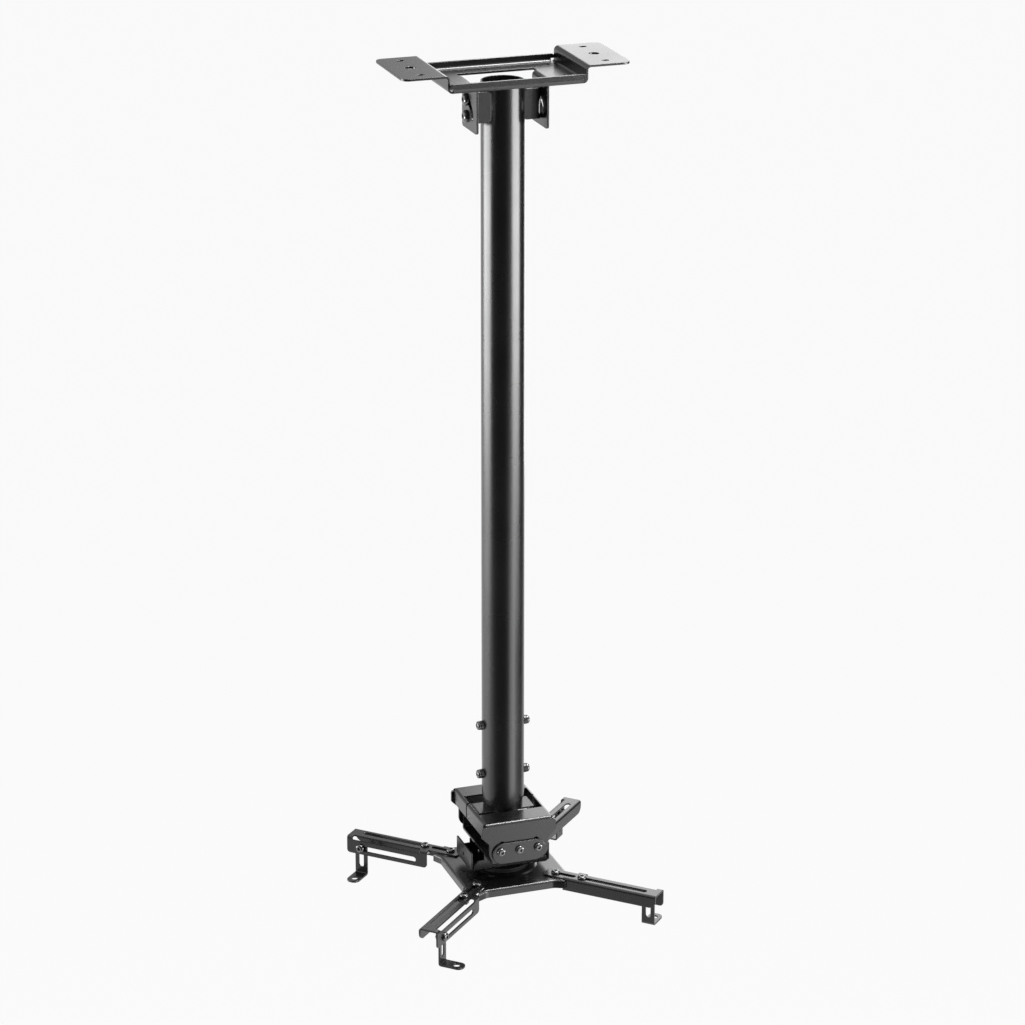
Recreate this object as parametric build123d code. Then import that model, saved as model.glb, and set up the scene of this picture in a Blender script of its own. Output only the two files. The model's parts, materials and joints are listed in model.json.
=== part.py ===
from build123d import *
from math import sqrt
import os

# Projector ceiling mount: a folded ceiling plate, a telescopic pole that tilts in it, a folded tilt
# bracket at the pole's foot, and a swivelling spider with four slotted arms and slotted feet.
# Millimetres. The origin is the centre of the ceiling bolt pattern, on the face that meets the ceiling.
# +Z points up to the ceiling, +X runs along the ceiling plate, -Y is the front.

# Fits shared by all pieces
pivot_clearance = 0.08
bolt_clearance = 0.3
sheet_gap = 0.2
wide_gap = 0.3
head_gap = 0.1
thread_clearance = 0.05
bend_radius = 1.0
bend_relief = 0.5

# M6 button-head screws and nuts
m6 = 6.0
m6_head_d = 10.5
m6_head_h = 3.3
head_rim = 0.5
m6_crown_d = 5.8
m6_socket = 4.0
socket_depth = 2.0
m6_nut_flats = 10.0
m6_nut_h = 5.0
thread_beyond_nut = 1.0
tip_chamfer = 0.6

# M8 button-head bolts and nuts of the ceiling ears
m8 = 8.0
m8_head_d = 14.0
m8_head_h = 4.4
m8_crown_d = 7.8
m8_socket = 5.0
m8_nut_flats = 13.0
m8_nut_h = 6.5

# Swivel bolt and nut
m10 = 10.0
m10_flats = 16.0
m10_head_h = 6.4
m10_nut_h = 8.0

# Ceiling plate
plate_t = 2.5
plate_length = 266.0
wing_depth = 105.0
wing_corner_r = 9.0
plate_bend = 3.0
pan_length = 163.0
pan_drop = 20.0
rail_gap = 0.5
rail_inset = 2.0
rail_height = 10.8
rail_corner_r = 3.0
wing_hole_x = 107.5
wing_hole_pitch = 72.0
wing_hole_d = 6.5
wing_hole_slot = 9.0
wing_centre_d = 12.0
window_length = 80.0
window_front = 36.0
window_back = 27.0
ear_front = 34.0
ear_back = 16.0
ear_drop = 53.5
ear_corner_r = 4.0
tilt_pivot_drop = 39.5
tilt_lock_radius = 19.0
tilt_range = 80.0

# Pole
tube_d = 50.0
tube_wall = 1.5
tube_top = -22.0
tube_length = 866.0
slide_clearance = 0.08
inner_wall = 1.5
inner_length = 560.0
bracket_t = 2.5
bracket_depth = 32.5
bracket_height = 35.0
bracket_above_pivot = 29.5
bracket_corner_r = 4.0
pole_screw_rise = (93.0, 31.0)
boss_d = 11.0
boss_height = 4.2
boss_edge = 0.8
tip_gap = 0.05

# Saddle under the inner tube
saddle_t = 2.5
saddle_below_tube = 13.0
saddle_width = 29.0
saddle_ear_drop = 20.0
saddle_ear_r = 12.0
pitch_drop = 9.0

# Tilt bracket
tilt_t = 2.5
tilt_above_saddle = 4.0
tilt_width = 86.0
tilt_depth = 116.0
tilt_window_length = 78.8
tilt_window_depth = 58.0
flap_height = 18.5
flap_length = 108.0
flap_slit = 3.0
flap_slit_y = 8.0
flap_bevel = 7.0
corner_notch_r = 3.0
face_width = 92.0
face_neck = 3.0
face_shoulder_top = 6.0
face_shoulder_low = 17.0
face_tab_width = 73.0
face_tab_r = 12.0
face_low = 51.0
roll_drop = 36.0
roll_pitch = 23.0
roll_range = 23.0
roll_slot_angles = (0.0, 180.0)
pitch_washer_d = 16.0
pitch_washer_t = 3.45
washer_gap = 0.05

# Roll cradle and its outer plates
cradle_t = 2.5
cradle_width = 64.0
cradle_above_roll = 11.0
cradle_below_roll = 18.5
cradle_ear_r = 9.0
cradle_hole_d = 30.0
roll_plate_t = 2.5
roll_plate_length = 67.0
roll_plate_height = 26.0
roll_plate_above = 10.0
roll_plate_edge = 0.6

# Tray
tray_t = 2.0
tray_below_cradle = 19.5
tray_width = 98.0
tray_depth = 54.0
tray_flange = 25.0
tray_wall = 14.0
tray_wall_half = 45.5
tray_wall_chamfer = 6.0
tray_tab_half = 33.0
tray_notch = 1.6
tray_notch_depth = 3.5
tray_notch_x = (22.0, 34.0)
tray_hole_d = 5.0
tray_hole_y = 3.0
tray_hole_rise = 12.0

# Swivel
friction_d = 62.0
friction_t = 5.4
lower_washer_d = 24.0
lower_washer_t = 2.0

# Spider plate
spider_t = 2.0
emboss_height = 1.5
spider_half = 64.3
spider_straight = 42.5
spider_corner_u = 87.5
corner_inside_rail = 1.9
spider_corner_r = 12.0
rim_height = 10.0
rim_opening = 10.0
emboss_d = 81.0
emboss_taper = 2.5
lobe_half = 6.0
lobe_start = 60.0
lobe_neck = 68.0
lobe_end = 113.0
lobe_end_r = 5.0

# Arms
arm_t = 2.0
arm_half = 9.3
arm_inner = 57.0
arm_outer = 203.0
arm_inner_r = 3.0
flange_drop = 15.5
flange_start = 83.0
flange_corner_r = 9.0
slot_w = 6.6
arm_screw_r = (69.6, 104.0)
short_slot_run = 22.6
long_slot_end = 188.0
rail_outer_v = 15.1
rail_start = 95.0
rail_drop = 4.5
rail_depth = 17.0
rail_r = 4.0
inner_tab = 10.0
outer_tab = 7.0
rail_slot_start = 109.5
rail_slot_end = 189.5
rail_slot_below = 9.0

# Feet
foot_t = 2.0
foot_width = 16.0
foot_screw_u = 185.0
foot_drop = 35.0
foot_reach = 40.0
foot_hole_v = 30.5
foot_hole_d = 8.0
foot_end_r = 7.0
leg_above_screw = 5.5
leg_top_r = 2.0
leg_slot_run = 22.0

# Values worked out from the sizes above
pan_top = plate_t - pan_drop
ear_outer = window_length / 2 + plate_t
tilt_pivot_z = -pan_drop - tilt_pivot_drop
tilt_lock_z = tilt_pivot_z + tilt_lock_radius
web_outer = window_length / 2 - wide_gap
web_inner = web_outer - bracket_t
inner_d = tube_d - 2 * tube_wall - 2 * slide_clearance
tube_bottom = tube_top - tube_length
pole_screw_z = [tube_bottom + rise for rise in pole_screw_rise]
saddle_top = tube_bottom - saddle_below_tube
tilt_top = saddle_top + tilt_above_saddle
pitch_z = saddle_top - pitch_drop
flap_inside = tilt_width / 2 - tilt_t
saddle_span = 2 * (flap_inside - pitch_washer_t - washer_gap)
saddle_inside = saddle_span / 2 - saddle_t
roll_z = tilt_top - roll_drop
face_y = tilt_depth / 2
roll_plate_y = face_y + sheet_gap
cradle_y = face_y - tilt_t - sheet_gap
cradle_bottom = roll_z - cradle_below_roll
tray_bottom = cradle_bottom - tray_below_cradle
tray_floor = tray_bottom + tray_t
emboss_top = tray_bottom - friction_t - head_gap
spider_top = emboss_top - emboss_height
spider_bottom = spider_top - spider_t
arm_top = spider_top + arm_t
rail_top = arm_top - rail_drop
rail_bottom = rail_top - rail_depth
rail_inner_v = rail_outer_v - arm_t
spider_corner_half = rail_inner_v - corner_inside_rail
foot_screw_z = rail_top - rail_slot_below
foot_bottom = foot_screw_z - foot_drop
leg_outer = rail_inner_v - wide_gap
leg_inner = leg_outer - foot_t
arm_angles = {"back_right": 45, "back_left": 135, "front_left": 225, "front_right": 315}


def folded_section(points, thickness, radius=bend_radius):
    """Section of a bent sheet: the points run along one face and the thickness lies to their left."""
    points = [Vector(*point) for point in points]
    runs = [(b - a).normalized() for a, b in zip(points, points[1:])]
    normals = [Vector(-run.Y, run.X) for run in runs]
    shifted = [points[0] + normals[0] * thickness]
    near_radii = []
    far_radii = []
    for corner, before, after, run, turn in zip(points[1:], normals, normals[1:], runs, runs[1:]):
        shifted.append(corner + (before + after) * (thickness / (1 + before.dot(after))))
        left_turn = run.X * turn.Y - run.Y * turn.X > 0
        near_radii.append(radius + thickness if left_turn else radius)
        far_radii.append(radius if left_turn else radius + thickness)
    shifted.append(points[-1] + normals[-1] * thickness)
    near = FilletPolyline(*points, radius=near_radii)
    far = FilletPolyline(*shifted, radius=far_radii)
    start = Line(points[0], shifted[0])
    end = Line(points[-1], shifted[-1])
    return make_face([*near.edges(), *far.edges(), start, end])


def bent_along_y(points, thickness, y0, y1, radius=bend_radius):
    """A sheet bent in the XZ plane, with the points as (x, z), between two values of y."""
    section = Plane.XZ * folded_section(points, thickness, radius)
    return Pos(0, y0, 0) * extrude(section, amount=y1 - y0, dir=(0, 1, 0))


def bent_along_x(points, thickness, x0, x1, radius=bend_radius):
    """A sheet bent in the YZ plane, with the points as (y, z), between two values of x."""
    section = Plane.YZ * folded_section(points, thickness, radius)
    return Pos(x0, 0, 0) * extrude(section, amount=x1 - x0, dir=(1, 0, 0))


def block(x0, x1, y0, y1, z0, z1):
    """A block between two corners."""
    return Pos((x0 + x1) / 2, (y0 + y1) / 2, (z0 + z1) / 2) * Box(x1 - x0, y1 - y0, z1 - z0)


def through(sketch, plane, reach):
    """A cutter that runs a sketch both ways through a plane."""
    return extrude(plane * sketch, amount=reach, both=True)


def trimmed(piece, keep):
    """What of a piece lies inside another one."""
    return Part() + (piece & keep).solids()


def both_sides(piece):
    """A piece and its mirror image on the other side in X."""
    return piece + mirror(piece, Plane.YZ)


def aimed(origin, direction, side=(0, 0, 1)):
    """The place of a fastener: its axis points out of its head, and two of its flats face sideways."""
    return Plane(origin=origin, x_dir=side, z_dir=direction).location


def hexagon(flats):
    """A hexagon with two of its flats across X."""
    return Rot(0, 0, 30) * RegularPolygon(radius=flats / sqrt(3), side_count=6)


def button_screw(length, thread=m6, head_d=m6_head_d, head_h=m6_head_h, crown_d=m6_crown_d, socket=m6_socket):
    """A button-head screw: the head stands on the XY plane and the shank goes down."""
    edge = head_d / 2
    crown = crown_d / 2
    shank = thread / 2
    top = Line((0, head_h), (crown, head_h))
    dome = TangentArc((crown, head_h), (edge, head_rim), tangent=(1, 0))
    rest = Polyline((edge, head_rim), (edge, 0), (shank, 0), (shank, tip_chamfer - length),
                    (shank - tip_chamfer, -length), (0, -length), (0, head_h))
    screw = revolve(Plane.XZ * make_face([top, dome, *rest.edges()]), Axis.Z)
    key = extrude(hexagon(socket), amount=socket_depth)
    return screw - Pos(0, 0, head_h - socket_depth) * key


def hex_nut(diameter, flats, height):
    """A hex nut that stands on the XY plane."""
    return extrude(hexagon(flats) - Circle(diameter / 2 + thread_clearance), amount=height)


def ring(outer_d, bore_d, height):
    """A flat ring that stands on the XY plane."""
    return extrude(Circle(outer_d / 2) - Circle(bore_d / 2), amount=height)


def pivot_hole(thread=m6):
    """A close hole for a shank."""
    return Circle(thread / 2 + pivot_clearance)


def ceiling_plate():
    """One sheet: a pan with a window, ears turned down, rails turned up and raised wings."""
    half = plate_length / 2
    wall = pan_length / 2
    side = wing_depth / 2
    path = [(-half, -plate_t), (-wall, -plate_t), (-wall, -pan_drop), (wall, -pan_drop),
            (wall, -plate_t), (half, -plate_t)]
    plate = bent_along_y(path, plate_t, -side, side, plate_bend)
    blank = RectangleRounded(plate_length, wing_depth, wing_corner_r)
    plate = trimmed(plate, through(blank, Plane.XY, 2 * pan_drop))
    rail = side + rail_gap + plate_t
    rail_root = wall - plate_t - plate_bend - bend_relief
    rail_end = wall - rail_inset
    rail_lip = rail_height - pan_drop
    edges = [(-rail, rail_lip), (-rail, -pan_drop), (rail, -pan_drop), (rail, rail_lip)]
    rails = bent_along_x(edges, plate_t, -rail_root, rail_root, plate_bend)
    straight = pan_top + plate_bend
    for y in (-rail, rail - plate_t):
        rails = rails + block(-rail_end, rail_end, y, y + plate_t, straight, rail_lip)
    rail_round = Pos(0, -pan_drop) * RectangleRounded(2 * rail_end, 2 * rail_height, rail_corner_r)
    plate = plate + trimmed(rails, through(rail_round, Plane.XZ, 2 * rail))
    bend_root = window_length / 2 + plate_t + plate_bend
    plate = plate - block(-bend_root, bend_root, -window_front, window_back, -2 * pan_drop, 0)
    plate = plate + both_sides(ceiling_ear())
    sweep_arc = CenterArc((0, tilt_pivot_z), tilt_lock_radius, 90, tilt_range)
    cut = Pos(0, tilt_pivot_z) * pivot_hole(m8) + SlotArc(sweep_arc, m8 + 2 * bolt_clearance)
    plate = plate - through(cut, Plane.YZ, plate_length)
    for x in (-wing_hole_x, wing_hole_x):
        plate = plate - through(Pos(x, 0) * Circle(wing_centre_d / 2), Plane.XY, pan_drop)
        for y in (-wing_hole_pitch / 2, wing_hole_pitch / 2):
            plate = plate - through(Pos(x, y) * SlotOverall(wing_hole_slot, wing_hole_d), Plane.XY, pan_drop)
    return plate


def ceiling_ear():
    """The right-hand ear, turned down from the edge of the window."""
    inside = window_length / 2
    low = -pan_drop - ear_drop
    root = inside + 2 * (plate_t + plate_bend)
    fold = [(root, pan_top), (inside, pan_top), (inside, low)]
    ear = bent_along_y(fold, plate_t, -ear_front, ear_back, plate_bend)
    middle = (ear_back - ear_front) / 2
    outline = Pos(middle, pan_top) * RectangleRounded(ear_front + ear_back, 2 * (pan_top - low), ear_corner_r)
    return trimmed(ear, through(outline, Plane.YZ, plate_length))


def pole_bracket():
    """The right-hand channel between the ear and the pole, cut to the round of the tube."""
    side = bracket_depth / 2
    channel = folded_section([(0, -side), (web_outer, -side), (web_outer, side), (0, side)], bracket_t)
    bottom = tilt_pivot_z + bracket_above_pivot - bracket_height
    bracket = Pos(0, 0, bottom) * extrude(channel, amount=bracket_height, dir=(0, 0, 1))
    bracket = bracket - Pos(0, 0, tilt_pivot_z) * Cylinder(tube_d / 2, 4 * bracket_height)
    inner_end = sqrt((tube_d / 2) ** 2 - side ** 2)
    blank = Pos(inner_end + web_outer, bottom + bracket_height / 2) * RectangleRounded(
        2 * web_outer, bracket_height, bracket_corner_r)
    bracket = trimmed(bracket, through(blank, Plane.XZ, bracket_depth))
    holes = Pos(0, tilt_pivot_z) * pivot_hole(m8) + Pos(0, tilt_lock_z) * pivot_hole(m8)
    return bracket - through(holes, Plane.YZ, plate_length)


def ceiling_fasteners():
    """Pivot and lock bolts of the ceiling ears, with their nuts inside the channels."""
    groups = {"ceiling_pivot_bolts": [], "ceiling_lock_bolts": [], "ceiling_bolt_nuts": []}
    seat = ear_outer + head_gap
    length = seat - web_inner + m8_nut_h + thread_beyond_nut
    bolt = button_screw(length, m8, m8_head_d, m8_head_h, m8_crown_d, m8_socket)
    nut = hex_nut(m8, m8_nut_flats, m8_nut_h)
    for sign in (-1, 1):
        for name, z in (("ceiling_pivot_bolts", tilt_pivot_z), ("ceiling_lock_bolts", tilt_lock_z)):
            groups[name].append(aimed((sign * seat, 0, z), (sign, 0, 0)) * bolt)
            groups["ceiling_bolt_nuts"].append(aimed((sign * web_inner, 0, z), (-sign, 0, 0)) * nut)
    return groups


def outer_tube():
    """The fixed tube of the pole, with holes for the pole screws."""
    tube = Pos(0, 0, tube_bottom) * ring(tube_d, tube_d - 2 * tube_wall, tube_top - tube_bottom)
    for z in pole_screw_z:
        tube = tube - through(Pos(0, z) * Circle(m6 / 2 + thread_clearance), Plane.YZ, tube_d)
    return tube


def pole_fasteners():
    """Weld nuts on the pole and the screws in them, which bear on the inner tube."""
    groups = {"pole_weld_nuts": [], "pole_lock_screws": []}
    seat = tube_d / 2 + boss_height
    screw = button_screw(seat - inner_d / 2 - tip_gap)
    nut = ring(boss_d, m6 + 2 * thread_clearance, seat)
    nut = chamfer(nut.edges().group_by(Axis.Z)[-1].sort_by(SortBy.LENGTH)[-1], boss_edge)
    for z in pole_screw_z:
        for sign in (-1, 1):
            placed = aimed((0, 0, z), (sign, 0, 0)) * nut
            placed = placed - Pos(0, 0, z) * Cylinder(tube_d / 2, 4 * boss_d)
            groups["pole_weld_nuts"].append(placed)
            groups["pole_lock_screws"].append(aimed((sign * seat, 0, z), (sign, 0, 0)) * screw)
    return groups


def inner_tube():
    """The tube that slides in the pole and stands on the saddle."""
    return Pos(0, 0, saddle_top) * ring(inner_d, inner_d - 2 * inner_wall, inner_length)


def saddle():
    """A strip under the inner tube, with both ends turned down as pivot ears."""
    half = saddle_span / 2
    low = saddle_top - saddle_ear_drop
    path = [(half, low), (half, saddle_top), (-half, saddle_top), (-half, low)]
    strip = bent_along_y(path, saddle_t, -saddle_width / 2, saddle_width / 2)
    outline = Pos(0, saddle_top) * RectangleRounded(saddle_width, 2 * saddle_ear_drop, saddle_ear_r)
    strip = trimmed(strip, through(outline, Plane.YZ, saddle_span))
    return strip - through(Pos(0, pitch_z) * pivot_hole(), Plane.YZ, saddle_span)


def tilt_face():
    """Outline of the tilt bracket's front and back plates, seen from the front."""
    neck = face_width / 2 - face_neck
    wide = face_width / 2
    tab = face_tab_width / 2
    low = tilt_top - face_low
    shoulder = tilt_top - face_shoulder_low
    taper = shoulder - (wide - tab)
    right = [(neck, tilt_top), (wide, tilt_top - face_shoulder_top), (wide, shoulder), (tab, taper),
             (tab, low)]
    left = [(-x, z) for x, z in reversed(right)]
    face = make_face(Polyline(*right, *left, close=True))
    return fillet(face.vertices().group_by(Axis.Y)[0], face_tab_r)


def tilt_bracket():
    """One sheet: a top plate with a window, front and back plates with tabs, and side flaps."""
    half = tilt_width / 2
    low = tilt_top - face_low
    path = [(face_y, low), (face_y, tilt_top), (-face_y, tilt_top), (-face_y, low)]
    bracket = bent_along_x(path, tilt_t, -face_width / 2, face_width / 2)
    bracket = trimmed(bracket, through(tilt_face(), Plane.XZ, tilt_depth))
    flap_root = flap_inside - bend_radius - bend_relief
    edge_trim = block(flap_root, face_width, -flap_length / 2, flap_length / 2, low, tilt_top)
    bracket = bracket - both_sides(edge_trim)
    bracket = bracket + side_flaps()
    for x in (-half, half):
        for y in (-face_y, face_y):
            bracket = bracket - Pos(x, y, tilt_top) * Cylinder(corner_notch_r, 2 * (tilt_t + bend_radius))
    window = Rectangle(tilt_window_length, tilt_window_depth)
    bracket = bracket - through(window, Plane.XY.offset(tilt_top), 2 * tilt_t)
    bracket = bracket - through(Pos(0, roll_z) * pivot_hole(), Plane.XZ, tilt_depth)
    for middle in roll_slot_angles:
        arc = CenterArc((0, roll_z), roll_pitch, middle - roll_range, 2 * roll_range)
        bracket = bracket - through(SlotArc(arc, m6 + 2 * bolt_clearance), Plane.XZ, tilt_depth)
    return bracket


def side_flaps():
    """The top plate between the tilt bracket's two side flaps, and the flaps."""
    half = tilt_width / 2
    low = tilt_top - flap_height
    end = flap_length / 2
    path = [(half, low), (half, tilt_top), (-half, tilt_top), (-half, low)]
    flaps = bent_along_y(path, tilt_t, -end, end)
    bevel = make_face(Polyline((end, low), (end - flap_bevel, low), (end, low + flap_bevel), close=True))
    flaps = flaps - through(bevel, Plane.YZ, tilt_width)
    slit_start = flap_slit_y - flap_slit / 2
    slit = block(flap_inside - bend_radius, half, slit_start, slit_start + flap_slit, low, tilt_top)
    flaps = flaps - both_sides(slit)
    return flaps - through(Pos(0, pitch_z) * Circle(m6 / 2 + thread_clearance), Plane.YZ, tilt_width)


def pitch_pieces():
    """Pivot screws from inside the saddle into the flaps, and the nylon washers between them."""
    groups = {"pitch_screws": [], "pitch_washers": []}
    seat = saddle_inside - head_gap
    screw = button_screw(tilt_width / 2 - seat)
    washer_start = saddle_span / 2 + washer_gap
    washer = ring(pitch_washer_d, m6 + 2 * pivot_clearance, pitch_washer_t)
    for sign in (-1, 1):
        groups["pitch_screws"].append(aimed((sign * seat, 0, pitch_z), (-sign, 0, 0)) * screw)
        groups["pitch_washers"].append(aimed((sign * washer_start, 0, pitch_z), (sign, 0, 0)) * washer)
    return groups


def roll_row():
    """Three close holes in a row on the roll axis, seen from the front."""
    hole = pivot_hole()
    return Pos(0, roll_z) * (hole + Pos(-roll_pitch, 0) * hole + Pos(roll_pitch, 0) * hole)


def roll_cradle():
    """A channel that hangs between the tilt bracket's tabs and carries the tray."""
    top = roll_z + cradle_above_roll
    path = [(-cradle_y, top), (-cradle_y, cradle_bottom), (cradle_y, cradle_bottom), (cradle_y, top)]
    cradle = bent_along_x(path, cradle_t, -cradle_width / 2, cradle_width / 2)
    outline = Pos(0, cradle_bottom) * RectangleRounded(cradle_width, 2 * (top - cradle_bottom), cradle_ear_r)
    cradle = trimmed(cradle, through(outline, Plane.XZ, tilt_depth))
    cradle = cradle - through(roll_row(), Plane.XZ, tilt_depth)
    return cradle - through(Circle(cradle_hole_d / 2), Plane.XY.offset(cradle_bottom), 2 * cradle_t)


def roll_plate():
    """The oblong plate outside the tilt bracket's front tab."""
    middle = roll_z + roll_plate_above - roll_plate_height / 2
    outline = Pos(0, middle) * SlotOverall(roll_plate_length, roll_plate_height)
    plate = extrude(Plane.XZ.offset(roll_plate_y) * outline, amount=roll_plate_t)
    plate = chamfer(plate.edges().group_by(Axis.Y)[0], roll_plate_edge)
    return plate - through(roll_row(), Plane.XZ, tilt_depth)


def roll_fasteners():
    """Roll pivot and lock screws, with nuts inside the cradle's ears."""
    groups = {"roll_screws_front": [], "roll_screws_back": [], "roll_nuts": []}
    seat = roll_plate_y + roll_plate_t
    inside = cradle_y - cradle_t
    screw = button_screw(seat - inside + m6_nut_h + thread_beyond_nut)
    nut = hex_nut(m6, m6_nut_flats, m6_nut_h)
    for name, sign in (("roll_screws_front", -1), ("roll_screws_back", 1)):
        for x in (-roll_pitch, 0, roll_pitch):
            groups[name].append(aimed((x, sign * seat, roll_z), (0, sign, 0)) * screw)
            groups["roll_nuts"].append(aimed((x, sign * inside, roll_z), (0, -sign, 0)) * nut)
    return groups


def tray():
    """One sheet: a floor, two tall side flanges, low end walls and tabs that meet the cradle."""
    half = tray_width / 2
    deep = tray_depth / 2
    rise = tray_bottom + tray_flange
    reach = deep - tray_t - bend_radius - bend_relief
    sides = [(-half, rise), (-half, tray_bottom), (half, tray_bottom), (half, rise)]
    body = bent_along_y(sides, tray_t, -reach, reach)
    flange_low = tray_floor + bend_radius + bend_relief
    body = body + both_sides(block(half - tray_t, half, -deep, deep, flange_low, rise))
    ends = [(-deep, cradle_bottom), (-deep, tray_bottom), (deep, tray_bottom), (deep, cradle_bottom)]
    walls = bent_along_x(ends, tray_t, -tray_wall_half, tray_wall_half)
    wall_top = tray_bottom + tray_wall
    right = [(tray_wall_half, tray_bottom), (tray_wall_half, wall_top - tray_wall_chamfer),
             (tray_wall_half - tray_wall_chamfer, wall_top), (tray_tab_half, wall_top),
             (tray_tab_half, cradle_bottom)]
    left = [(-x, z) for x, z in reversed(right)]
    outline = make_face(Polyline(*right, *left, close=True))
    body = body + trimmed(walls, through(outline, Plane.XZ, tray_depth))
    notch = Box(tray_notch, 2 * tray_notch_depth, 2 * tray_notch_depth)
    for x in tray_notch_x:
        for y in (-deep, deep):
            body = body - Pos(x, y, tray_bottom) * notch - Pos(-x, y, tray_bottom) * notch
    hole = Pos(tray_hole_y, tray_bottom + tray_hole_rise) * Circle(tray_hole_d / 2)
    body = body - through(hole, Plane.YZ, tray_width)
    return body - through(Circle(m10 / 2 + pivot_clearance), Plane.XY.offset(tray_bottom), 2 * tray_t)


def swivel_pieces():
    """The friction washer, swivel bolt, lower washer and lock nut between tray and spider."""
    bore = m10 + 2 * pivot_clearance
    nut_face = emboss_top - spider_t - head_gap - lower_washer_t
    length = tray_floor - nut_face + m10_nut_h + thread_beyond_nut
    head = extrude(hexagon(m10_flats), amount=m10_head_h)
    shank = Pos(0, 0, -length) * extrude(Circle(m10 / 2), amount=length)
    shank = chamfer(shank.edges().group_by(Axis.Z)[0], tip_chamfer)
    return {
        "friction_washer": Pos(0, 0, tray_bottom - friction_t) * ring(friction_d, bore, friction_t),
        "swivel_bolt": Pos(0, 0, tray_floor) * (head + shank),
        "lower_washer": Pos(0, 0, nut_face) * ring(lower_washer_d, bore, lower_washer_t),
        "swivel_nut": Pos(0, 0, nut_face - m10_nut_h) * hex_nut(m10, m10_flats, m10_nut_h),
    }


def spider_outline():
    """The spider's plate without its lobes: a square whose corners flare out towards the arms."""
    side_u = (spider_half + spider_straight) / sqrt(2)
    side_v = (spider_half - spider_straight) / sqrt(2)
    corners = []
    for angle in arm_angles.values():
        for u, v in ((side_u, -side_v), (spider_corner_u, -spider_corner_half),
                     (spider_corner_u, spider_corner_half), (side_u, side_v)):
            corners.append(Vector(u, v).rotate(Axis.Z, angle))
    radii = [spider_corner_r, 0, 0, spider_corner_r] * len(arm_angles)
    return make_face(FilletPolyline(*corners, radius=radii, close=True).edges())


def spider_plate():
    """A pressed plate: a raised round centre, a turned-down rim and four lobes that carry the arms."""
    outline = spider_outline()
    rim_low = spider_top - rim_height
    outer = Pos(0, 0, rim_low) * extrude(outline, amount=rim_height, dir=(0, 0, 1))
    outer = fillet(outer.edges().group_by(Axis.Z)[-1], bend_radius + spider_t)
    inner = offset(outline, amount=-spider_t)
    inner = Pos(0, 0, rim_low) * extrude(inner, amount=rim_height - spider_t, dir=(0, 0, 1))
    plate = outer - inner
    lobe = Pos((lobe_start + lobe_end) / 2, 0) * Rectangle(lobe_end - lobe_start, 2 * lobe_half)
    lobe = fillet(lobe.vertices().group_by(Axis.X)[-1], lobe_end_r)
    lobe = Pos(0, 0, spider_bottom) * extrude(lobe, amount=spider_t)
    opening = block(lobe_neck, lobe_end, -rim_opening, rim_opening, rim_low, spider_top)
    for angle in arm_angles.values():
        plate = plate - Rot(0, 0, angle) * opening
        plate = plate + Rot(0, 0, angle) * lobe
    low = emboss_d / 2
    high = low - emboss_taper
    plate = plate - Pos(0, 0, spider_bottom) * Cylinder(low - spider_t, 4 * spider_t)
    dome = make_face(Polyline((0, emboss_top), (high, emboss_top), (low, spider_top), (low, spider_bottom),
                              (low - spider_t, spider_bottom), (high - spider_t, emboss_top - spider_t),
                              (0, emboss_top - spider_t), close=True))
    plate = plate + revolve(Plane.XZ * dome, Axis.Z)
    plate = plate - through(Circle(m10 / 2 + pivot_clearance), Plane.XY.offset(spider_top), rim_height)
    for angle in arm_angles.values():
        for radius in arm_screw_r:
            hole = Rot(0, 0, angle) * Pos(radius, 0) * pivot_hole()
            plate = plate - through(hole, Plane.XY.offset(spider_top), rim_height)
    return plate


def arm_fasteners():
    """Two screws and two nuts on each lobe of the spider."""
    groups = {"arm_screws": [], "arm_nuts": []}
    screw = button_screw(head_gap + arm_t + spider_t + m6_nut_h + thread_beyond_nut)
    nut = Rot(0, 0, 90) * hex_nut(m6, m6_nut_flats, m6_nut_h)
    for angle in arm_angles.values():
        for radius in arm_screw_r:
            spot = Rot(0, 0, angle) * Pos(radius, 0, 0)
            groups["arm_screws"].append(spot * Pos(0, 0, arm_top + head_gap) * screw)
            groups["arm_nuts"].append(spot * Pos(0, 0, spider_bottom - m6_nut_h) * nut)
    return groups


def arm():
    """An arm along +X: a slotted web, a plain flange on its right and a slotted side rail on its left."""
    web = Pos((arm_inner + arm_outer) / 2, 0) * Rectangle(arm_outer - arm_inner, 2 * arm_half)
    web = fillet(web.vertices().group_by(Axis.X)[0], arm_inner_r)
    web = Pos(0, 0, spider_top) * extrude(web, amount=arm_t)
    web = web - block(flange_start, arm_outer, -arm_half, -arm_t - bend_radius, spider_top, arm_top)
    piece = web + arm_flange() + side_rail()
    short = Pos(arm_screw_r[0] + short_slot_run / 2, 0) * SlotCenterToCenter(short_slot_run, slot_w)
    long_run = long_slot_end - slot_w / 2 - arm_screw_r[1]
    long = Pos(arm_screw_r[1] + long_run / 2, 0) * SlotCenterToCenter(long_run, slot_w)
    piece = piece - through(short, Plane.XY.offset(spider_top), 2 * arm_t)
    return piece - through(long, Plane.XY.offset(spider_top), 2 * arm_t)


def arm_flange():
    """The plain flange turned down along the arm's right side, with a rounded outer end."""
    low = arm_top - flange_drop
    path = [(0, arm_top), (-arm_half, arm_top), (-arm_half, low)]
    flange = bent_along_x(path, arm_t, flange_start, arm_outer)
    blank = Rectangle(arm_outer - flange_start, flange_drop)
    blank = fillet(blank.vertices().group_by(Axis.Y)[0].sort_by(Axis.X)[-1], flange_corner_r)
    blank = Pos((flange_start + arm_outer) / 2, arm_top - flange_drop / 2) * blank
    return trimmed(flange, through(blank, Plane.XZ, arm_outer))


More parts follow.
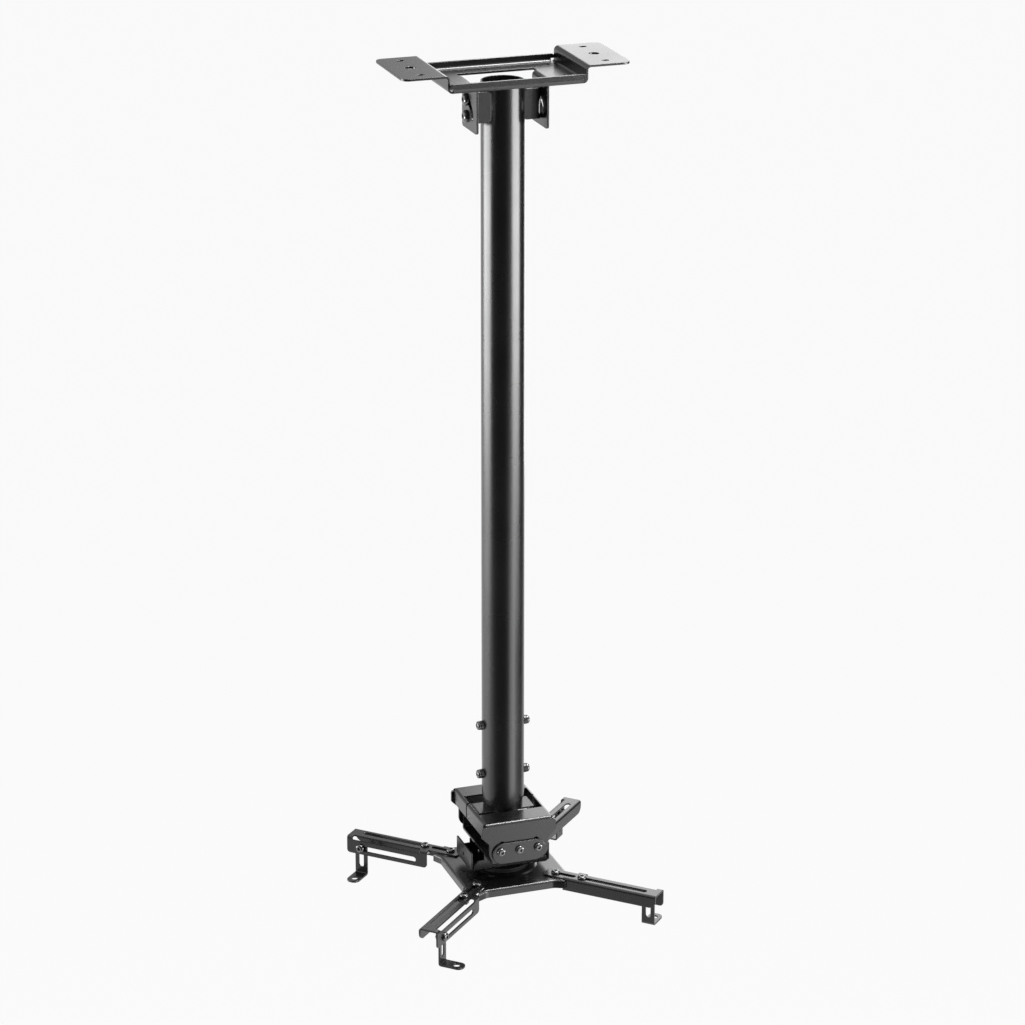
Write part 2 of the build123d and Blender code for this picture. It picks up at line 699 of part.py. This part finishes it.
def side_rail():
    """The slotted rail along the arm's left side, joined to the web by a tab at each end."""
    path = [(rail_outer_v, rail_bottom), (rail_outer_v, arm_top), (0, arm_top)]
    rail = bent_along_x(path, arm_t, rail_start, arm_outer)
    middle = (rail_start + arm_outer) / 2
    outline = RectangleRounded(arm_outer - rail_start, 2 * (arm_top - rail_bottom), rail_r)
    outline = Pos(middle, arm_top) * outline
    rail = trimmed(rail, through(outline, Plane.XZ, arm_outer))
    rail = rail - block(rail_start + inner_tab, arm_outer - outer_tab, arm_half, 2 * rail_outer_v, rail_top,
                        arm_top + arm_t)
    slot = Pos((rail_slot_start + rail_slot_end) / 2, foot_screw_z) * SlotOverall(
        rail_slot_end - rail_slot_start, slot_w)
    return rail - through(slot, Plane.XZ, arm_outer)


def foot():
    """An angle foot: a slotted leg behind the side rail and a foot plate turned out under it."""
    top = foot_screw_z + leg_above_screw
    start = foot_screw_u - foot_width / 2
    path = [(leg_inner, top), (leg_inner, foot_bottom), (foot_reach, foot_bottom)]
    piece = bent_along_x(path, foot_t, start, start + foot_width)
    plan = Pos(foot_screw_u, 0) * RectangleRounded(foot_width, 2 * foot_reach, foot_end_r)
    piece = trimmed(piece, through(plan, Plane.XY.offset(foot_bottom), 2 * foot_drop))
    front = Pos(foot_screw_u, foot_bottom) * RectangleRounded(foot_width, 2 * (top - foot_bottom), leg_top_r)
    piece = trimmed(piece, through(front, Plane.XZ, 2 * foot_reach))
    slot = Pos(foot_screw_u, foot_screw_z - leg_slot_run / 2) * Rot(0, 0, 90) * SlotCenterToCenter(
        leg_slot_run, slot_w)
    piece = piece - through(slot, Plane.XZ, 2 * foot_reach)
    hole = Pos(foot_screw_u, foot_hole_v) * Circle(foot_hole_d / 2)
    return piece - through(hole, Plane.XY.offset(foot_bottom), 2 * foot_t)


def foot_fasteners():
    """The screw through side rail and leg, and its nut behind the leg."""
    seat = rail_outer_v + head_gap
    inside = leg_inner - head_gap
    screw = button_screw(seat - inside + m6_nut_h + thread_beyond_nut)
    nut = hex_nut(m6, m6_nut_flats, m6_nut_h)
    screw = aimed((foot_screw_u, seat, foot_screw_z), (0, 1, 0)) * screw
    return screw, aimed((foot_screw_u, inside, foot_screw_z), (0, -1, 0)) * nut


bracket_right = pole_bracket()
plate_front = roll_plate()
nodes = {
    "ceiling_plate": ceiling_plate(),
    "channel_right": bracket_right,
    "channel_left": mirror(bracket_right, Plane.YZ),
    "outer_tube": outer_tube(),
    "inner_tube": inner_tube(),
    "saddle": saddle(),
    "tilt_bracket": tilt_bracket(),
    "roll_cradle": roll_cradle(),
    "roll_plate_front": plate_front,
    "roll_plate_back": mirror(plate_front, Plane.XZ),
    "tray": tray(),
    "spider_plate": spider_plate(),
}
nodes.update(swivel_pieces())

for groups in (ceiling_fasteners(), pole_fasteners(), pitch_pieces(), roll_fasteners(), arm_fasteners()):
    for name, pieces in groups.items():
        nodes[name] = Compound(children=pieces)

one_arm = arm()
one_foot = foot()
one_foot_screw, one_foot_nut = foot_fasteners()
for corner_name, corner_angle in arm_angles.items():
    turn = Rot(0, 0, corner_angle)
    nodes["arm_" + corner_name] = turn * one_arm
    nodes["foot_" + corner_name] = turn * one_foot
    nodes["foot_screw_" + corner_name] = turn * one_foot_screw
    nodes["foot_nut_" + corner_name] = turn * one_foot_nut

os.makedirs("parts", exist_ok=True)
for name, shape in nodes.items():
    export_step(shape, "parts/" + name + ".step")
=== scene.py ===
"""Projector ceiling mount: the finishes, stage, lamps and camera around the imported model."""
import json
import math

import bpy
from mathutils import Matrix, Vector

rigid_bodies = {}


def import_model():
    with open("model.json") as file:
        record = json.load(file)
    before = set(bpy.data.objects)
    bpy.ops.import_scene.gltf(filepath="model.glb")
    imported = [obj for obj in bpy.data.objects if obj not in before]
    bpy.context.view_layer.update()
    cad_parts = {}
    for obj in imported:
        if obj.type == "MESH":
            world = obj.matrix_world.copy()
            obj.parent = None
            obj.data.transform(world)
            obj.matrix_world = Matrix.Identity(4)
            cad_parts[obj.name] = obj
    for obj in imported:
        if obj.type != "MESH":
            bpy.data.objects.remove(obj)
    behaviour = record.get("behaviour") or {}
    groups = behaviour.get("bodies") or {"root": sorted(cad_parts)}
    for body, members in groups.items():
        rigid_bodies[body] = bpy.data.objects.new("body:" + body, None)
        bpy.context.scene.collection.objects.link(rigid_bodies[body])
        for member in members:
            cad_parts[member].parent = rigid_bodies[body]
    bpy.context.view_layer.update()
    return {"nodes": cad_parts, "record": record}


for leftover in list(bpy.data.objects):
    bpy.data.objects.remove(leftover)

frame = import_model()
nodes = frame["nodes"]
scene = bpy.context.scene
scene.view_settings.view_transform = "Standard"

# The photograph's line of sight, from which the stage and the camera are set up
view_yaw = math.radians(19.16)
view_rise = math.radians(19.87)
view_distance = 4.31568
view_target = Vector((0, 0, -0.53179))

# The photograph's frame: its side, focal length and optical centre, in pixels
photo_side = 1025
focal_length = 3736.03
centre_x = 502.86
centre_y = 512.38
sensor_width = 36.0

# Light levels, where one is white: the background, the world's soft light and the far floor's light
background = 0.945
soft_light = 0.4
far_light = 0.3

# Floor: how much of the lamps' light it shows, its height, and its reach from the object
floor_shade = 0.05
floor_glow = background - far_light * floor_shade
floor_z = -3.4
floor_half = 4.7
floor_front = 3.2
floor_back = 40.0

# Dark gaps in what reflections see of the world, each with the cosines where it begins and is full,
# and its least level: beside the camera, to the right, and behind the object
dark_gaps = (
    {"direction": (-0.55, -0.83, -0.1), "start": 0.30, "end": 0.80, "least": 0.04},
    {"direction": (0.96, 0.1, -0.3), "start": 0.60, "end": 0.92, "least": 0.04},
    {"direction": (-0.1, 0.9, 0.42), "start": 0.75, "end": 1.00, "least": 0.40},
)


def node_of(tree, kind, **inputs):
    """A shader node with some of its sockets set by name."""
    made = tree.nodes.new(kind)
    for name, value in inputs.items():
        made.inputs[name.replace("_", " ")].default_value = value
    return made


def math_node(tree, operation, first, second):
    """The result of a math operation on two sockets."""
    made = tree.nodes.new("ShaderNodeMath")
    made.operation = operation
    tree.links.new(first, made.inputs[0])
    tree.links.new(second, made.inputs[1])
    return made.outputs["Value"]


def mixed(tree, factor, first, second):
    """A shader that goes from the first to the second as the factor goes from zero to one."""
    made = tree.nodes.new("ShaderNodeMixShader")
    tree.links.new(factor, made.inputs["Fac"])
    tree.links.new(first, made.inputs[1])
    tree.links.new(second, made.inputs[2])
    return made.outputs["Shader"]


def new_material(name):
    """An empty node material with its principled shader and output."""
    material = bpy.data.materials.new(name)
    material.use_nodes = True
    tree = material.node_tree
    tree.nodes.clear()
    shader = tree.nodes.new("ShaderNodeBsdfPrincipled")
    output = tree.nodes.new("ShaderNodeOutputMaterial")
    tree.links.new(shader.outputs["BSDF"], output.inputs["Surface"])
    return material, tree, shader, output


def noise(tree, scale, detail=3.0, roughness=0.5):
    """Noise in the object's own metres."""
    place = tree.nodes.new("ShaderNodeTexCoord")
    made = node_of(tree, "ShaderNodeTexNoise", Scale=scale, Detail=detail, Roughness=roughness)
    tree.links.new(place.outputs["Object"], made.inputs["Vector"])
    return made.outputs["Fac"]


def spread(tree, source, low, high):
    """A value from low to high that follows a noise."""
    made = node_of(tree, "ShaderNodeMapRange", From_Min=0.3, From_Max=0.7, To_Min=low, To_Max=high)
    tree.links.new(source, made.inputs["Value"])
    return made.outputs["Result"]


def tint(tree, source, dark, pale):
    """A colour between two that follows a noise."""
    made = tree.nodes.new("ShaderNodeMix")
    made.data_type = "RGBA"
    made.inputs["A"].default_value = (*dark, 1)
    made.inputs["B"].default_value = (*pale, 1)
    tree.links.new(source, made.inputs["Factor"])
    return made.outputs["Result"]


def soft_edges(tree, shader, radius, grain, strength, distance):
    """Rounded edges and a fine grain on the surface."""
    rounded = node_of(tree, "ShaderNodeBevel", Radius=radius)
    rounded.samples = 4
    bump = node_of(tree, "ShaderNodeBump", Strength=strength, Distance=distance)
    tree.links.new(grain, bump.inputs["Height"])
    tree.links.new(rounded.outputs["Normal"], bump.inputs["Normal"])
    tree.links.new(bump.outputs["Normal"], shader.inputs["Normal"])


def powder_coat():
    """Satin black powder coat with a fine grain."""
    material, tree, shader, _ = new_material("powder_coat")
    grain = noise(tree, scale=1400, roughness=0.6)
    cloud = noise(tree, scale=14)
    colour = tint(tree, cloud, dark=(0.003, 0.003, 0.0032), pale=(0.006, 0.006, 0.0064))
    tree.links.new(colour, shader.inputs["Base Color"])
    tree.links.new(spread(tree, cloud, low=0.25, high=0.29), shader.inputs["Roughness"])
    shader.inputs["Specular IOR Level"].default_value = 1.0
    soft_edges(tree, shader, radius=0.0009, grain=grain, strength=0.08, distance=0.00008)
    return material


def black_screw():
    """Blackened steel, a little glossy."""
    material, tree, shader, _ = new_material("black_screw")
    cloud = noise(tree, scale=260)
    colour = tint(tree, cloud, dark=(0.15, 0.15, 0.155), pale=(0.20, 0.20, 0.205))
    tree.links.new(colour, shader.inputs["Base Color"])
    tree.links.new(spread(tree, cloud, low=0.09, high=0.14), shader.inputs["Roughness"])
    shader.inputs["Metallic"].default_value = 0.9
    soft_edges(tree, shader, radius=0.0004, grain=cloud, strength=0.08, distance=0.0001)
    return material


def black_nylon():
    """Matt black nylon."""
    material, tree, shader, _ = new_material("black_nylon")
    cloud = noise(tree, scale=500)
    colour = tint(tree, cloud, dark=(0.012, 0.012, 0.012), pale=(0.02, 0.02, 0.02))
    tree.links.new(colour, shader.inputs["Base Color"])
    shader.inputs["Roughness"].default_value = 0.6
    soft_edges(tree, shader, radius=0.0003, grain=cloud, strength=0.1, distance=0.0001)
    return material


def direct_rays(tree):
    """One for camera, glossy and transmission rays, and zero for the rest."""
    path = tree.nodes.new("ShaderNodeLightPath")
    total = path.outputs["Is Camera Ray"]
    for name in ("Is Glossy Ray", "Is Transmission Ray"):
        total = math_node(tree, "MAXIMUM", total, path.outputs[name])
    return total


def pale_floor():
    """A pale floor that keeps a faint shadow and otherwise melts into the background."""
    material, tree, shader, output = new_material("pale_floor")
    cloud = noise(tree, scale=3, detail=2.0)
    colour = tint(tree, cloud, dark=(0.82, 0.82, 0.82), pale=(0.85, 0.85, 0.85))
    tree.links.new(colour, shader.inputs["Base Color"])
    shader.inputs["Roughness"].default_value = 0.9
    glow = node_of(tree, "ShaderNodeEmission", Color=(1, 1, 1, 1), Strength=floor_glow)
    matt = node_of(tree, "ShaderNodeBsdfDiffuse", Color=(floor_shade, floor_shade, floor_shade, 1))
    seen = tree.nodes.new("ShaderNodeAddShader")
    tree.links.new(glow.outputs["Emission"], seen.inputs[0])
    tree.links.new(matt.outputs["BSDF"], seen.inputs[1])
    surface = mixed(tree, direct_rays(tree), shader.outputs["BSDF"], seen.outputs["Shader"])
    tree.links.new(surface, output.inputs["Surface"])
    return material


def lay_floor():
    """A wide runner of pale floor well below the ceiling, laid along the line of sight."""
    mesh = bpy.data.meshes.new("floor")
    corners = [(-floor_half, -floor_front, 0), (floor_half, -floor_front, 0),
               (floor_half, floor_back, 0), (-floor_half, floor_back, 0)]
    mesh.from_pydata(corners, [], [(0, 1, 2, 3)])
    mesh.materials.append(pale_floor())
    floor = bpy.data.objects.new("floor", mesh)
    floor.location = (0, 0, floor_z)
    floor.rotation_euler = (0, 0, -view_yaw)
    scene.collection.objects.link(floor)


def dark_lobe(tree, place, direction, start, end, least):
    """A factor that falls from one to its least towards a direction, between two cosines."""
    facing = tree.nodes.new("ShaderNodeVectorMath")
    facing.operation = "DOT_PRODUCT"
    facing.inputs[1].default_value = Vector(direction).normalized()
    tree.links.new(place, facing.inputs[0])
    fall = node_of(tree, "ShaderNodeMapRange", From_Min=start, From_Max=end, To_Min=1.0, To_Max=least)
    tree.links.new(facing.outputs["Value"], fall.inputs["Value"])
    return fall.outputs["Result"]


def studio_world():
    """A pale world that reflections see with dark gaps, and that lights softly."""
    world = bpy.data.worlds.new("studio")
    world.use_nodes = True
    tree = world.node_tree
    tree.nodes.clear()
    place = tree.nodes.new("ShaderNodeTexCoord").outputs["Generated"]
    first_lobe, *other_lobes = [dark_lobe(tree, place, **gap) for gap in dark_gaps]
    level = first_lobe
    for lobe in other_lobes:
        level = math_node(tree, "MULTIPLY", level, lobe)
    mirrored = node_of(tree, "ShaderNodeBackground", Color=(background, background, background, 1))
    tree.links.new(level, mirrored.inputs["Strength"])
    seen = node_of(tree, "ShaderNodeBackground", Color=(1, 1, 1, 1), Strength=background)
    soft = node_of(tree, "ShaderNodeBackground", Color=(1, 1, 1, 1), Strength=soft_light)
    path = tree.nodes.new("ShaderNodeLightPath")
    lit = mixed(tree, direct_rays(tree), soft.outputs["Background"], mirrored.outputs["Background"])
    surface = mixed(tree, path.outputs["Is Camera Ray"], lit, seen.outputs["Background"])
    output = tree.nodes.new("ShaderNodeOutputWorld")
    tree.links.new(surface, output.inputs["Surface"])
    return world


def soft_box(name, place, target, width, height, glow):
    """A rectangular studio lamp that faces a point, with its glow as radiance."""
    lamp = bpy.data.lights.new(name, "AREA")
    lamp.shape = "RECTANGLE"
    lamp.size = width
    lamp.size_y = height
    lamp.energy = glow * math.pi * width * height
    made = bpy.data.objects.new(name, lamp)
    made.location = place
    made.rotation_euler = (Vector(target) - Vector(place)).to_track_quat("-Z", "Y").to_euler()
    made.visible_camera = False
    scene.collection.objects.link(made)


def photo_camera():
    """The camera at the photograph's view."""
    back = Vector((-math.sin(view_yaw) * math.cos(view_rise),
                   -math.cos(view_yaw) * math.cos(view_rise), math.sin(view_rise)))
    data = bpy.data.cameras.new("photo_view")
    data.sensor_width = sensor_width
    data.lens = focal_length * sensor_width / photo_side
    data.shift_x = (photo_side / 2 - centre_x) / photo_side
    data.shift_y = (centre_y - photo_side / 2) / photo_side
    data.clip_start = 0.05
    data.clip_end = 200.0
    camera = bpy.data.objects.new("photo_view", data)
    camera.location = view_target + back * view_distance
    camera.rotation_euler = (-back).to_track_quat("-Z", "Y").to_euler()
    scene.collection.objects.link(camera)
    return camera


# Finishes, by the material slot of each piece
looks = {"powder_coat": powder_coat(), "black_screw": black_screw(), "black_nylon": black_nylon()}
for subpart in frame["record"]["subparts"]:
    mesh = nodes[subpart["node"]].data
    mesh.materials.clear()
    mesh.materials.append(looks[subpart["material_slot"]])

# Stage
lay_floor()
scene.world = studio_world()

# Two side lamps stand far off and low, so that the tube mirrors them and level faces don't
soft_box("right_front", place=(3.20, -2.40, -1.25), target=(0, 0, -1.25), width=3.38, height=0.93, glow=10.0)
soft_box("left_back", place=(-3.77, 1.32, -1.25), target=(0, 0, -1.25), width=3.50, height=0.93, glow=8.6)

# Lamps for the level faces, the head's front and the folds
soft_box("right_back", place=(0.75, 1.05, -0.15), target=(0, 0, -0.4), width=0.8, height=1.7, glow=1.9)
soft_box("low_front", place=(0.90, -1.38, -1.55), target=(0, 0, -0.93), width=1.0, height=0.7, glow=1.1)
soft_box("overhead", place=(0.85, -0.2, 1.8), target=(0, 0, -0.4), width=0.7, height=1.5, glow=23.0)

scene.camera = photo_camera()
